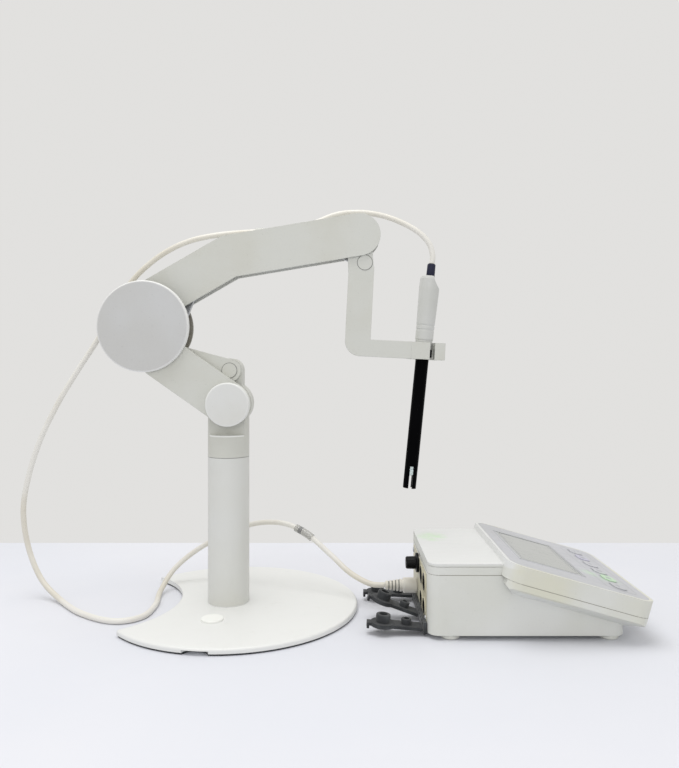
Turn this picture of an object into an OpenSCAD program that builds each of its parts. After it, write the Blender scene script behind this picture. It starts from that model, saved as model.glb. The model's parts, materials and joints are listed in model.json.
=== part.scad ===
// Bench pH meter: a wedge-shaped console, an electrode stand with a double-link arm,
// a combination electrode in the arm's holder, and the electrode's lead.
// Frame: origin on the bench under the post's axis, +X from the post towards the console,
// +Y towards the back of the bench, +Z up. Lengths in millimetres, angles in degrees.

/* [Stand] */
// Radius of the round base plate
base_r = 111.5; // [106:0.5:116]
// Thickness of the base plate
base_t = 4; // [3:0.5:5]
// Thickness of the rubber sheet under the base plate
pad_t = 1.5; // [1:0.5:2]
// Outer radius of the post
post_r = 18.6; // [17.6:0.1:19.2]
// Height of the seam on which the swivel head turns
post_top = 137; // [128:1:142]
// Height of the swivel head's round collar
collar_top = 157; // [150:1:160]

/* [Arm] */
// Height of the lower arm's pivot, under the tension knob
knob_z = 185; // [180:1:190]
// Distance from the lower arm's pivot up to the levelling link's pivot
link_rise = 29.8; // [28:0.1:32]
// Half width of the lower arm
low_r = 19.3; // [17.5:0.1:19.5]
// Half width of the upper arm
up_r = 19; // [18:0.1:20]
// Width of the upper arm from face to face
up_deep = 18; // [17:0.5:19]
// Wall of the arm's moulded covers
skin = 2.2; // [1.8:0.1:2.6]
// Radius of the elbow's front disc
disc_r = 40.3; // [39:0.1:42]
// Radius of the elbow's back disc
back_disc_r = 37.3; // [34:0.1:38]
// Radius of the tension knob
knob_r = 19.3; // [18:0.1:20]

/* [Holder and electrode] */
// Lean of the holder bracket in its worn pivots
holder_lean = 2.9; // [0:0.1:4]
// Width of the holder's hanging strip
strip_w = 23; // [21:0.5:26]
// Height of the holder's level bar
bar_h = 15.4; // [14:0.1:17]
// Diameter of the electrode's shaft
shaft_d = 12; // [11.5:0.1:12.2]
// Length of the shaft from the clip's centre down to the tip
shaft_below = 122; // [110:1:130]
// Lean of the electrode in its clip
electrode_lean = 5.7; // [4:0.1:7]

/* [Lead] */
// Diameter of the electrode's lead
lead_d = 5; // [4.6:0.1:5.2]

/* [Console] */
// Width of the console's case
case_w = 126; // [120:1:130]
// Height of the flat lid over the connectors
lid_z = 61; // [60:0.5:63]
// Width of the sloping display panel
panel_w = 155; // [150:1:158]
// Length of the display panel down its slope
panel_l = 120.3; // [118:0.1:122]
// Slope of the display panel
panel_slope = 15.6; // [14.5:0.1:16.5]
// Height of the panel's rear edge
panel_z = 66; // [65:0.5:68]
// Wall of the console's case
case_wall = 2.5; // [2:0.1:3]
// How far a key travels
key_travel = 0.7; // [0.4:0.1:0.9]

/* [Hidden] */
$fn = 64;

// Colours of the mouldings and metals
stand_white = [0.86, 0.86, 0.84];
arm_white = [0.88, 0.88, 0.86];
disc_grey = [0.80, 0.81, 0.81];
case_white = [0.92, 0.92, 0.90];
ivory = [0.88, 0.85, 0.74];
overlay_grey = [0.72, 0.74, 0.77];
rubber_grey = [0.22, 0.24, 0.26];
black = [0.04, 0.04, 0.05];
navy = [0.07, 0.10, 0.28];
steel = [0.62, 0.63, 0.65];
board_green = [0.12, 0.35, 0.20];

// Clearances: a shaft in its bore, and two moving parts side by side
fit = 0.05;
apart = 0.3;

// Stand: the plate is a disc with a round bite on the side away from the console
base_at = [5.3, 0];
bite_at = [-136, 0];
bite_r = 92;
base_top = pad_t + base_t;
grip_at = [-9.2, -113];
plug_spot = [-6.3, -49];
grip_r = 11;
post_wall = 3;
foot_boss = 16;
spindle_r = 12;
spindle_low = 108;
bolt_r = 4;

// Arm pivots in the XZ plane
knob_at = [2.5, knob_z];
link_at = knob_at + [0, link_rise];
elbow_at = [-71.7, 253.6];
knee_at = elbow_at - [0, link_rise];
wrist_at = [118.6, 337];
level_reach = [5, -25];
level_at = wrist_at + level_reach;
level_root = elbow_at + level_reach;
pin_r = 4;

// Arm layers along Y, from the front: knob and disc, lower arm, link, head and upper arm
lug_y = 10;
link_y = [-12.6, -10.3];
low_y = [-20, -13.5];
disc_y = [-26, -20.4];
knob_y = [-27, -20.3];
back_y = [up_deep / 2 + 0.5, up_deep / 2 + 4.5];
level_y = [0.6, 5.2];
strip_y = [-6.4, -0.4];

// Covers: the lower arm runs below the line of its pivots, the upper arm above it
low_end = [-56.4, 226.5];
up_start = [-76, 272.7];
up_bend = [1.4, 317.4];

// Holder bracket, in its own frame at the wrist
strip_x = 3.4;
bar_z = -109.1;
bar_end = 52;
clip_end = 82.5;
clip_back = 31;
probe_x = 63.4;
probe_y = 3.5;
spare_y = 22;
bracket_y = [-6.4, 6.4];

// Electrode, in its own frame at the clip
clip_at = [176.6, probe_y, 229];
shaft_r = shaft_d / 2;
collar_z = 5;
cap_z = 13.5;
cap_top = 72;
boot_top = 83.4;

// Console
case_x = [171.7, 329];
case_y = -18;
case_bottom = 3.9;
seam_z = 52;
panel_x = 233;
bezel_h = 13.7;
tray_h = 27;
lcd_u = [14.5, 71];
lcd_w = 102;
key_u = 96.5;
key_pitch = 21.4;
key_size = [11, 17];
key_proud = 0.9;
strip_front = 168.5;
flap_root = [166.9, 5.5];
flap_list = [[-65, 5], [-31, 20], [19, 3]];
socket_y = [-57, -37];
socket_z = [40, 20];
socket_r = [7, 6];
socket_wall = 1.4;
bnc_at = [-12, 43.5];
plug_at = [142, -2.4, 20.4];
foot_x = [190, 318];
foot_y = 54;

// Route of the lead's centre line: electrode, over the arm, behind the elbow,
// down to a loop on the bench, up behind the post and into the plug
lead_route = [
    [185.1, 3.5, 312.3], [185.8, 3.5, 320], [182.5, 4, 331], [173, 5.5, 341.5], [159, 9, 350.5],
    [141, 13, 358], [120, 15, 361.5], [98, 15, 359.5], [72, 15, 350], [42, 15, 344.6],
    [12, 15, 342.9], [-13, 15, 340.5], [-37, 15, 335.5], [-58, 15.5, 326.5], [-77, 16.5, 313.5],
    [-94, 18, 297], [-110, 19, 273], [-125, 20, 245], [-143, 20, 217], [-162, 21, 186.5],
    [-181, 24, 150], [-194, 27, 113], [-199.5, 29, 80], [-195, 30, 46], [-181, 25, 18],
    [-158, 10, 4], [-126, -24, 2.6], [-92, -44, 2.6], [-70, -34, 2.6], [-66, -3, 2.6],
    [-70, 33, 4.5], [-60, 54, 21], [-34, 64, 40], [8, 61, 60], [42, 50, 65.5],
    [68, 38, 58], [92, 25, 41], [110, 11, 28], [128, -0.5, 21.2], [141.7, -2.4, 20.4]
];
// Where the lead passes from the upper arm to the swivel head, and on to the bench
lead_parts = [13, 23];
lead_steps = 2;

// A quarter round between the side and the end of a turned part
function quarter(r, h, edge) = [for (a = [0:15:90]) [r - edge + edge * cos(a), h - edge + edge * sin(a)]];

// The unit vector at an angle in a drawing plane
function unit(a) = [cos(a), sin(a)];

// An outline round two circles and the straight tangents between them
module taper2d(a, ra, b, rb) {
    span = b - a;
    heading = atan2(span[1], span[0]);
    lean = acos((ra - rb) / norm(span));
    translate(a) circle(ra);
    translate(b) circle(rb);
    polygon([
        a + ra * unit(heading + lean), b + rb * unit(heading + lean),
        b + rb * unit(heading - lean), a + ra * unit(heading - lean)
    ]);
}

// A rectangle with round corners between two corners
module round_rect(low, high, r) {
    translate([low[0] + r, low[1]]) square([high[0] - low[0] - 2 * r, high[1] - low[1]]);
    translate([low[0], low[1] + r]) square([high[0] - low[0], high[1] - low[1] - 2 * r]);
    for (x = [low[0] + r, high[0] - r], y = [low[1] + r, high[1] - r])
        translate([x, y]) circle(r);
}

// An outline in the XZ plane, extruded from one Y to another
module layer(y) {
    translate([0, y[1], 0]) rotate([90, 0, 0]) linear_extrude(y[1] - y[0]) children();
}

// A cylinder along Y at a pivot
module pin(at, r, y) {
    translate([at[0], y[1], at[1]]) rotate([90, 0, 0]) cylinder(h = y[1] - y[0], r = r);
}

// A bar of one width along several points, with an eye on each end
module bar(points, r, eyes, y) {
    last = len(points) - 1;
    pin(points[0], eyes[0], y);
    pin(points[last], eyes[1], y);
    for (i = [1:last - 1])
        pin(points[i], r, y);
    for (i = [0:last - 1]) {
        along = (points[i + 1] - points[i]) / norm(points[i + 1] - points[i]);
        side = r * [-along[1], along[0]];
        layer(y) polygon([points[i] + side, points[i + 1] + side, points[i + 1] - side, points[i] - side]);
    }
}

// A disc facing the front, with its front edge rounded
module faced_disc(at, r, y, edge) {
    translate([at[0], y[1], at[1]]) rotate([90, 0, 0]) turned(r, y[1] - y[0], edge);
}

// A turned disc with a round upper edge
module turned(r, h, edge) {
    rotate_extrude($fn = 96) polygon(concat([[0, 0], [r, 0]], quarter(r, h, edge), [[0, h]]));
}

// ---- Stand ----

module base_outline(grow) {
    difference() {
        translate(base_at) circle(base_r + grow, $fn = 180);
        translate(bite_at) circle(bite_r - grow, $fn = 120);
    }
}

module base_plate() {
    color(stand_white)
    difference() {
        translate([base_at[0], base_at[1], pad_t]) turned(base_r, base_t, 2);
        translate([bite_at[0], bite_at[1], 0]) cylinder(h = 20, r = bite_r, $fn = 120);
        translate([0, 0, pad_t]) cylinder(h = base_t, r1 = 2 * bolt_r, r2 = bolt_r);
        translate([0, 0, -1]) cylinder(h = 20, r = bolt_r);
        translate([grip_at[0], grip_at[1], 0]) cylinder(h = pad_t + 2, r = grip_r);
    }
}

module base_pad() {
    color(rubber_grey)
    difference() {
        linear_extrude(pad_t) base_outline(-1);
        translate([grip_at[0], grip_at[1], -1]) cylinder(h = 5, r = grip_r);
    }
}

module base_plug() {
    color(disc_grey)
    translate([plug_spot[0], plug_spot[1], base_top]) turned(9.5, 1.8, 0.8);
}

module post() {
    color(stand_white)
    difference() {
        translate([0, 0, base_top]) cylinder(h = post_top - base_top, r = post_r);
        translate([0, 0, base_top + foot_boss]) cylinder(h = post_top, r = post_r - post_wall);
        translate([0, 0, base_top - 1]) cylinder(h = foot_boss, r = bolt_r);
    }
}

module post_bolt() {
    color(steel)
    union() {
        translate([0, 0, pad_t]) cylinder(h = base_t, r1 = 2 * bolt_r, r2 = bolt_r);
        translate([0, 0, base_top]) cylinder(h = foot_boss - 2, r = bolt_r);
    }
}

module swivel_bush() {
    color(black)
    difference() {
        translate([0, 0, spindle_low]) cylinder(h = post_top - spindle_low, r = post_r - post_wall);
        translate([0, 0, spindle_low - 1]) cylinder(h = 40, r = spindle_r + fit);
    }
}

// ---- Swivel head ----

module swivel_head() {
    color(arm_white)
    difference() {
        union() {
            translate([0, 0, post_top + apart]) cylinder(h = collar_top - post_top - apart, r = post_r);
            intersection() {
                translate([0, 0, collar_top - 6]) cylinder(h = knob_z - collar_top + 6, r = post_r);
                layer([-lug_y, lug_y]) translate([-post_r, 0]) square([2 * post_r, 300]);
            }
            pin(knob_at, 19.4, [-lug_y, lug_y]);
            layer([-lug_y, lug_y]) taper2d(knob_at, 10.8, link_at, 10.8);
        }
        pin(knob_at, bolt_r, [-lug_y - 1, lug_y + 1]);
        pin(link_at, pin_r, [-lug_y - 1, 2]);
        translate([0, 0, post_top]) cylinder(h = 12.2, r = 6 + fit);
    }
}

module swivel_spindle() {
    color(steel)
    union() {
        translate([0, 0, spindle_low]) cylinder(h = post_top - spindle_low + apart - fit, r = spindle_r);
        translate([0, 0, post_top]) cylinder(h = 12, r = 6);
        translate([0, 0, spindle_low - 3]) cylinder(h = 3, r = spindle_r + 2);
    }
}

module knob_bolt() {
    color(steel)
    union() {
        pin(knob_at, bolt_r, [knob_y[1] - 3, lug_y]);
        translate([knob_at[0], lug_y + 4, knob_at[1]]) rotate([90, 0, 0]) cylinder(h = 4, r = 8, $fn = 6);
    }
}

module friction_washer() {
    color(black)
    difference() {
        pin(knob_at, 11, [low_y[1] + 0.1, -lug_y]);
        pin(knob_at, bolt_r, [-20, 0]);
    }
}

module link_pin() {
    color(stand_white)
    union() {
        pin(link_at, pin_r, [link_y[0] - 0.3, 2]);
        pin(link_at, 6.5, [link_y[0] - 0.6, link_y[0] - 0.05]);
    }
}

module tension_knob() {
    color(disc_grey)
    difference() {
        faced_disc(knob_at, knob_r, knob_y, 1.6);
        pin(knob_at, bolt_r + fit, [knob_y[1] - 3.2, knob_y[1] + 1]);
    }
}

// ---- Lower arm and its levelling link ----

module low_outline(r) {
    taper2d(knob_at, r, low_end, r);
    taper2d(knee_at, r - 9.7, low_end, r - 9.7);
}

module lower_arm() {
    color(arm_white)
    difference() {
        union() {
            difference() {
                layer(low_y) low_outline(low_r);
                layer([low_y[0] + skin, low_y[1] + 1]) low_outline(low_r - skin);
            }
            pin(knob_at, 11, [low_y[0] + 1, low_y[1]]);
            pin(knee_at, 8, [low_y[0] + 1, low_y[1]]);
        }
        pin(knob_at, bolt_r + fit, [low_y[0] - 1, low_y[1] + 1]);
        pin(knee_at, pin_r + fit, [low_y[0] - 1, low_y[1] + 1]);
    }
}

// The link is cranked: level with its lower pivot first, then up behind the disc
module lower_link() {
    crank = [-42, 226.7];
    color(arm_white)
    difference() {
        bar([link_at, crank, elbow_at], 10, [10.2, 11], link_y);
        pin(link_at, pin_r + fit, [-20, 0]);
        pin(elbow_at, pin_r + apart, [-20, 0]);
    }
}

// ---- Elbow ----

module elbow_disc() {
    color(disc_grey)
    difference() {
        faced_disc(elbow_at, disc_r, disc_y, 1.8);
        pin(elbow_at, pin_r + fit, [disc_y[1] - 3.1, disc_y[1] + 1]);
        pin(knee_at, pin_r + fit, [disc_y[1] - 3.1, disc_y[1] + 1]);
    }
}

module elbow_back() {
    color(disc_grey)
    difference() {
        translate([elbow_at[0], back_y[0], elbow_at[1]]) rotate([-90, 0, 0])
            turned(back_disc_r, back_y[1] - back_y[0], 1.2);
        pin(elbow_at, pin_r + fit, [0, back_y[1] - 1.4]);
        pin(level_root, pin_r + fit, [0, back_y[1] - 1.4]);
    }
}

module elbow_pins() {
    color(steel)
    union() {
        pin(elbow_at, pin_r, [disc_y[1] - 3, back_y[1] - 1.5]);
        pin(knee_at, pin_r, [disc_y[1] - 3, low_y[1] - 0.5]);
        pin(level_root, pin_r, [level_y[0] - 0.4, back_y[1] - 1.5]);
    }
}

// ---- Upper arm and its levelling link ----

module up_outline(r) {
    taper2d(up_start, r, up_bend, r);
    taper2d(up_bend, r, wrist_at, r);
}

// A bent channel, open underneath, with a bearing tube at the elbow
module upper_arm() {
    half = up_deep / 2;
    color(arm_white)
    difference() {
        union() {
            for (y = [[-half, skin - half], [half - skin, half]])
                layer(y) {
                    up_outline(up_r);
                    translate(elbow_at) circle(14);
                }
            layer([-half, half])
                difference() {
                    up_outline(up_r);
                    up_outline(up_r - skin);
                    translate([0, -9]) up_outline(up_r - skin);
                }
            pin(elbow_at, 8.5, [-half, half]);
        }
        pin(elbow_at, pin_r + fit, [-half - 1, half + 1]);
        pin(wrist_at, pin_r + fit, [-half + 0.9, half - 0.9]);
    }
}

module wrist_pin() {
    color(steel)
    pin(wrist_at, pin_r, [1 - up_deep / 2, up_deep / 2 - 1]);
}

// Two small hooks on the back face that keep the lead behind the arm
module lead_clips() {
    hook_y = up_deep / 2;
    color(arm_white)
    for (at = [[57, 347.2, 11], [27, 343.5, 5]])
        translate([at[0], hook_y, at[1]]) rotate([0, -at[2], 0]) {
            difference() {
                rotate([0, 90, 0]) translate([0, 6, -4]) cylinder(h = 8, r = lead_d / 2 + 2);
                rotate([0, 90, 0]) translate([0, 6, -5]) cylinder(h = 10, r = lead_d / 2 + 0.5);
                translate([-5, 2.5, 1]) cube([10, 12, 5]);
            }
            translate([-4, 0, -14]) cube([8, 2, 15]);
        }
}

module upper_link() {
    route = [level_root, [-44, 260], [-36, 280], [-10, 303], [2, 308], [102, 322], level_at];
    color(steel)
    difference() {
        bar(route, 4.5, [7.5, 7.5], level_y);
        pin(level_root, pin_r + fit, [-1, 10]);
        pin(level_at, pin_r + apart, [-1, 10]);
    }
}

// ---- Holder ----

// The holder's own frame: origin at the wrist, leaning with the bracket
module at_wrist() {
    translate([wrist_at[0], 0, wrist_at[1]]) rotate([0, holder_lean, 0]) children();
}

module bracket_outline(inset) {
    left = strip_x - strip_w / 2;
    difference() {
        round_rect([left + inset, bar_z + inset], [bar_end - inset, -30 - inset], 14 - inset);
        translate([left + strip_w - inset, bar_z + bar_h - inset])
            square([200, 200]);
    }
    translate([bar_end - 16, bar_z + inset]) square([16 - inset, bar_h - 2 * inset]);
    translate([left + inset, -60]) square([strip_w - 2 * inset, 30 - inset]);
}

module holder_bracket() {
    local_level = [level_reach[0] * cos(holder_lean) - level_reach[1] * sin(holder_lean),
        level_reach[0] * sin(holder_lean) + level_reach[1] * cos(holder_lean)];
    color(arm_white)
    at_wrist()
    difference() {
        union() {
            layer(strip_y) taper2d([0, 0], 11, [strip_x, -34], strip_w / 2);
            layer(strip_y) translate([strip_x - strip_w / 2, -50]) square([strip_w, 22]);
            difference() {
                layer(bracket_y) intersection() {
                    bracket_outline(0);
                    translate([-50, -200]) square([200, 158]);
                }
                layer([bracket_y[0] + skin, bracket_y[1] + 1]) intersection() {
                    bracket_outline(skin);
                    translate([-50, -200]) square([200, 158]);
                }
            }
        }
        pin([0, 0], pin_r + fit, [-20, 20]);
        pin(local_level, pin_r, [strip_y[0] - 1, strip_y[1] + 1]);
    }
}

// The clip's head: one slotted seat for the electrode and a spare seat behind it
module holder_clip() {
    color(arm_white)
    at_wrist()
    difference() {
        translate([bar_end, bracket_y[0], bar_z])
            cube([clip_end - bar_end, clip_back - bracket_y[0], bar_h]);
        translate([probe_x, probe_y, bar_z + bar_h / 2]) rotate([0, electrode_lean - holder_lean, 0]) {
            translate([0, 0, -20]) cylinder(h = 40, r = shaft_r + 0.35);
            translate([0, 0, -5.2]) cylinder(h = 30, r = 8.4);
        }
        translate([probe_x, spare_y, bar_z - 1]) cylinder(h = bar_h + 2, r = shaft_r + 0.3);
        translate([68.8, bracket_y[0] - 1, bar_z - 1]) cube([4.4, 11, bar_h + 2]);
        translate([78, 13, bar_z - 1]) cube([20, 30, bar_h + 2]);
    }
}

module level_pin() {
    color(stand_white)
    union() {
        pin(level_at, pin_r, [strip_y[0], level_y[1]]);
        pin(level_at, 6.6, [strip_y[0] - 0.35, strip_y[0]]);
    }
}

// ---- Electrode ----

// The electrode's own frame: origin at the clip, +Z up along the shaft
module at_clip() {
    translate(clip_at) rotate([0, electrode_lean, 0]) children();
}

module electrode_shaft() {
    color(black)
    at_clip()
    difference() {
        union() {
            translate([0, 0, -shaft_below]) cylinder(h = shaft_below, r = shaft_r);
            translate([0, 0, -1.6]) cylinder(h = collar_z + 1.6, r = 8);
        }
        translate([0, 0, -shaft_below - 1]) cylinder(h = 27, r = 4.2);
        for (turn = [0, 90])
            rotate([0, 0, turn]) translate([-10, -1.6, -shaft_below - 1]) cube([20, 3.2, 21]);
    }
}

module glass_bulb() {
    color([0.80, 0.90, 0.92, 0.6])
    at_clip()
    union() {
        translate([0, 0, -shaft_below + 16]) cylinder(h = 9.5, r = 2.4);
        translate([0, 0, -shaft_below + 14.5]) sphere(3.4, $fn = 40);
    }
}

module electrode_head() {
    color(case_white)
    at_clip()
    difference() {
        rotate_extrude($fn = 72) polygon([
            [0, collar_z], [7.7, collar_z], [7.7, cap_z], [8.2, cap_z + 0.6], [8.25, 22], [7.9, 22.5],
            [7.9, 23.3], [8.3, 23.8], [8.35, 26], [8, 26.5], [8, 27.3], [8.4, 27.8],
            [9.2, 60], [9, 69.3], [8.4, 71.2], [7.1, cap_top], [0, cap_top]
        ]);
        translate([0, 0, 56]) cylinder(h = 40, r = 7.1);
        translate([22, 0, 76]) rotate([90, 0, 0]) cylinder(h = 40, r = 20, center = true);
    }
}

module head_insert() {
    color(navy)
    at_clip()
    translate([0, 0, 56]) turned(7, 4.5, 1.2);
}

module cable_boot() {
    color(navy)
    at_clip()
    translate([0, 0, 60.5]) rotate_extrude($fn = 48) polygon([
        [0, 0], [4.6, 0], [4.4, 4], [3.9, 8], [3.7, boot_top - 61.3], [3.1, boot_top - 60.5],
        [0, boot_top - 60.5]
    ]);
}

// ---- Lead ----

// Points on a smooth curve through a route, so many to each stretch
function bend_point(a, b, c, d, t) =
    0.5 * (2 * b + (c - a) * t + (2 * a - 5 * b + 4 * c - d) * t * t + (3 * b - a - 3 * c + d) * t * t * t);
function smooth(route, steps) = [
    for (i = [0:len(route) - 2], s = [0:steps - 1])
        let (a = route[max(i - 1, 0)], d = route[min(i + 2, len(route) - 1)])
            bend_point(a, route[i], route[i + 1], d, s / steps),
    route[len(route) - 1]
];

// Frames carried along the curve without twisting
function direction(path, i) =
    let (step = path[min(i + 1, len(path) - 1)] - path[max(i - 1, 0)]) step / norm(step);
function level_side(side, along) = let (flat = side - (side * along) * along) flat / norm(flat);
function sides(path, i = 0, last = [0, 1, 0]) =
    i == len(path) ? [] : let (s = level_side(last, direction(path, i))) concat([s], sides(path, i + 1, s));

lead_path = [for (p = smooth(lead_route, lead_steps)) [p[0], p[1], max(p[2], lead_d / 2)]];
lead_sides = sides(lead_path);

// One stretch of the lead: a round tube swept along the path between two of its points
module lead_tube(first, last, n = 8) {
    rings = [
        for (i = [first:last], k = [0:n - 1])
            let (up = cross(direction(lead_path, i), lead_sides[i]), a = 360 * k / n)
                lead_path[i] + lead_d / 2 * (cos(a) * lead_sides[i] + sin(a) * up)
    ];
    end = (last - first) * n;
    walls = [
        for (i = [0:last - first - 1], k = [0:n - 1])
            let (p = i * n, q = (k + 1) % n) [p + k, p + q, p + n + q, p + n + k]
    ];
    ends = [[for (k = [n - 1:-1:0]) k], [for (k = [0:n - 1]) end + k]];
    polyhedron(points = rings, faces = concat(walls, ends));
}

module lead_top() {
    color(ivory)
    lead_tube(0, lead_parts[0] * lead_steps);
}

module lead_drop() {
    color(ivory)
    lead_tube(lead_parts[0] * lead_steps, lead_parts[1] * lead_steps);
}

module lead_bench() {
    color(ivory)
    lead_tube(lead_parts[1] * lead_steps, len(lead_path) - 1);
}

// The moulded plug lies along -X from the rear panel
module at_plug() {
    translate(plug_at) rotate([0, 90, 0]) children();
}

module lead_plug() {
    color(ivory)
    at_plug()
    translate([0, 0, 16]) rotate_extrude($fn = 48) polygon([
        [0, 0], [6.1, 0], [6.7, 1], [6.7, 12], [5.6, 12.5], [5.6, 14.2], [0, 14.2]
    ]);
}

module plug_relief() {
    color(ivory)
    at_plug()
    rotate_extrude($fn = 48) polygon(concat(
        [[0, 0], [3, 0]],
        [for (i = [0:4], p = [[0, 0.9], [1.6, 0.9], [1.7, 0], [2.9, 0]]) [3.2 + 0.4 * i + p[1] * 0.8, 1 + 3 * i + p[0]]],
        [[5.9, 16], [0, 16]]
    ));
}

// ---- Console case ----

// The display panel's own frame: origin on its rear top edge, +X down the slope, +Z out of it
module at_panel() {
    translate([panel_x, case_y, panel_z]) rotate([0, panel_slope, 0]) children();
}

module case_plan(inset) {
    half = case_w / 2 - inset;
    round_rect([case_x[0] + inset, case_y - half], [case_x[1] - inset, case_y + half], 9 - inset);
}

module panel_plan(inset) {
    half = panel_w / 2 - inset;
    round_rect([inset, -half], [panel_l - inset, half], 14 - inset);
}

// The case's side profile up to the seam, lowered and drawn in by a wall
module case_profile(inset) {
    seam_drop = bezel_h / cos(panel_slope);
    fall = tan(panel_slope);
    front_seam = panel_z - seam_drop - (case_x[1] - panel_x) * fall;
    polygon([
        [case_x[0] + inset, case_bottom + inset], [case_x[1] - inset, case_bottom + inset],
        [case_x[1] - inset, front_seam + inset], [panel_x - 3, seam_z + inset / 2],
        [case_x[0] + inset, seam_z + inset / 2]
    ]);
}

// The tray under the display panel: a slab whose sides and front slope in to the case
module tray() {
    half = panel_w / 2;
    foot = case_w / 2 - 2;
    edge = -bezel_h - 5;
    at_panel()
    intersection() {
        translate([0, 0, -tray_h]) linear_extrude(tray_h - bezel_h) panel_plan(0);
        rotate([90, 0, 90]) linear_extrude(panel_l) polygon([
            [-half, 0], [half, 0], [half, edge], [foot, -tray_h], [-foot, -tray_h], [-half, edge]
        ]);
        layer([-half, half]) polygon([
            [3.2, 0], [panel_l, 0], [panel_l, edge], [panel_l - 16, -tray_h], [14, -tray_h], [3.2, edge]
        ]);
    }
}

module case_body(inset) {
    intersection() {
        linear_extrude(100) case_plan(inset);
        layer([-200, 200]) case_profile(inset);
    }
}

module lower_case() {
    color(case_white)
    difference() {
        union() {
            difference() {
                union() {
                    case_body(0);
                    tray();
                }
                case_body(case_wall);
                at_panel() translate([0, 0, -bezel_h - 3]) linear_extrude(8) panel_plan(case_wall + 3.5);
                translate([case_x[0] - 1, case_y - 49.1, 8]) cube([5, 98.2, 41]);
            }
            for (x = foot_x, y = [-foot_y, foot_y])
                translate([x, case_y + y, case_bottom]) cylinder(h = 12, r = 4.5);
        }
        for (x = foot_x, y = [-foot_y, foot_y])
            translate([x, case_y + y, case_bottom - 1]) cylinder(h = 9, r = 1.6);
    }
}

module upper_case() {
    gap = 0.2;
    color(case_white)
    difference() {
        union() {
            translate([0, 0, seam_z + gap]) linear_extrude(lid_z - seam_z - gap) intersection() {
                case_plan(0);
                translate([100, -200]) square([panel_x - 98, 400]);
            }
            at_panel() translate([0, 0, -bezel_h + gap]) linear_extrude(bezel_h - gap) panel_plan(0);
        }
        translate([0, 0, lid_z - 2.6]) linear_extrude(0.5) difference() {
            translate([100, -200]) square([panel_x - 103, 400]);
            case_plan(0.5);
        }
        translate([0, 0, seam_z - 5]) linear_extrude(lid_z - seam_z + 5 - case_wall) intersection() {
            case_plan(case_wall);
            translate([100, -200]) square([panel_x - 90, 400]);
        }
        at_panel() {
            translate([0, 0, -40]) linear_extrude(40 - case_wall) panel_plan(case_wall);
            translate([lcd_u[0], -lcd_w / 2, -5]) cube([lcd_u[1] - lcd_u[0], lcd_w, 10]);
            translate([0, 0, -0.7]) linear_extrude(5) panel_plan(3);
            for (i = [0:5])
                key_hole(i, 0.4);
        }
    }
}

module key_hole(i, grow) {
    y = (i - 2.5) * key_pitch;
    translate([key_u, y - (key_size[1] - key_size[0]) / 2, -5])
        linear_extrude(10) taper2d([0, 0], key_size[0] / 2 + grow, [0, key_size[1] - key_size[0]],
            key_size[0] / 2 + grow);
}

module keypad_overlay() {
    color(overlay_grey)
    at_panel()
    difference() {
        translate([0, 0, -0.7]) linear_extrude(0.7) panel_plan(3.2);
        translate([lcd_u[0], -lcd_w / 2, -5]) cube([lcd_u[1] - lcd_u[0], lcd_w, 10]);
        for (i = [0:5])
            key_hole(i, 0.4);
    }
}

module lcd_window() {
    color([0.55, 0.58, 0.56])
    at_panel()
    translate([lcd_u[0] + 0.2, 0.2 - lcd_w / 2, -2.2])
        cube([lcd_u[1] - lcd_u[0] - 0.4, lcd_w - 0.4, 2.1]);
}

module lcd_module() {
    color([0.45, 0.50, 0.44])
    at_panel()
    translate([lcd_u[0] - 3, -lcd_w / 2 - 3, -6.5])
        cube([lcd_u[1] - lcd_u[0] + 6, lcd_w + 6, 3.8]);
}

module display_board() {
    color(board_green)
    at_panel()
    translate([10, -66, -8.6]) cube([100, 132, 1.6]);
}

module keypad_mat() {
    color([0.75, 0.75, 0.74])
    at_panel()
    union() {
        translate([84, -64, -6.9]) cube([24, 128, 1.4]);
        for (i = [0:5])
            translate([key_u, (i - 2.5) * key_pitch, -5.5]) cylinder(h = 0.9, r = 3.5);
    }
}

// A key: an oval cap on a wider skirt under the panel
module key(i, tint) {
    y = (i - 2.5) * key_pitch;
    spread = key_size[1] - key_size[0];
    r = key_size[0] / 2;
    color(tint)
    at_panel()
    translate([key_u, y - spread / 2, 0]) {
        translate([0, 0, -3.7]) linear_extrude(3.7 + key_proud) taper2d([0, 0], r, [0, spread], r);
        translate([0, 0, -3.8]) linear_extrude(1) taper2d([0, 0], r + 1.2, [0, spread], r + 1.2);
    }
}

module main_board() {
    color(board_green)
    union() {
        translate([182, case_y - 50, 16]) cube([118, 100, 1.6]);
        for (at = [[205, -30, 20], [235, 10, 26], [262, -22, 14], [215, 34, 16]])
            translate([at[0], case_y + at[1], 17.6]) cube([at[2], at[2], 2.4]);
    }
}

// ---- Console rear ----

// A cylinder along +X from a point on the rear face
module along_x(x, y, z) {
    translate([x, y, z]) rotate([0, 90, 0]) children();
}

module rear_panel() {
    color(ivory)
    difference() {
        translate([case_x[0] - 0.5, case_y - 48.8, 8.2]) cube([3, 97.6, 40.6]);
        for (y = socket_y, i = [0, 1])
            along_x(case_x[0] - 2, y, socket_z[i]) cylinder(h = 8, r = socket_r[i] + fit);
        along_x(case_x[0] - 2, bnc_at[0], bnc_at[1]) cylinder(h = 8, r = 4 + fit);
        along_x(case_x[0] - 2, plug_at[1], plug_at[2]) cylinder(h = 8, r = 5.8 + fit);
    }
}

module rear_sockets() {
    color(black)
    union() {
        for (y = socket_y, i = [0, 1])
            along_x(case_x[0] - 1.5, y, socket_z[i])
                difference() {
                    cylinder(h = 10, r = socket_r[i]);
                    translate([0, 0, -1]) cylinder(h = 8, r = socket_r[i] - socket_wall);
                }
        along_x(case_x[0] - 6, bnc_at[0], bnc_at[1]) cylinder(h = 14, r = 4);
        along_x(case_x[0] + 1.2, plug_at[1], plug_at[2]) cylinder(h = 8, r = 5.8);
    }
}

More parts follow.
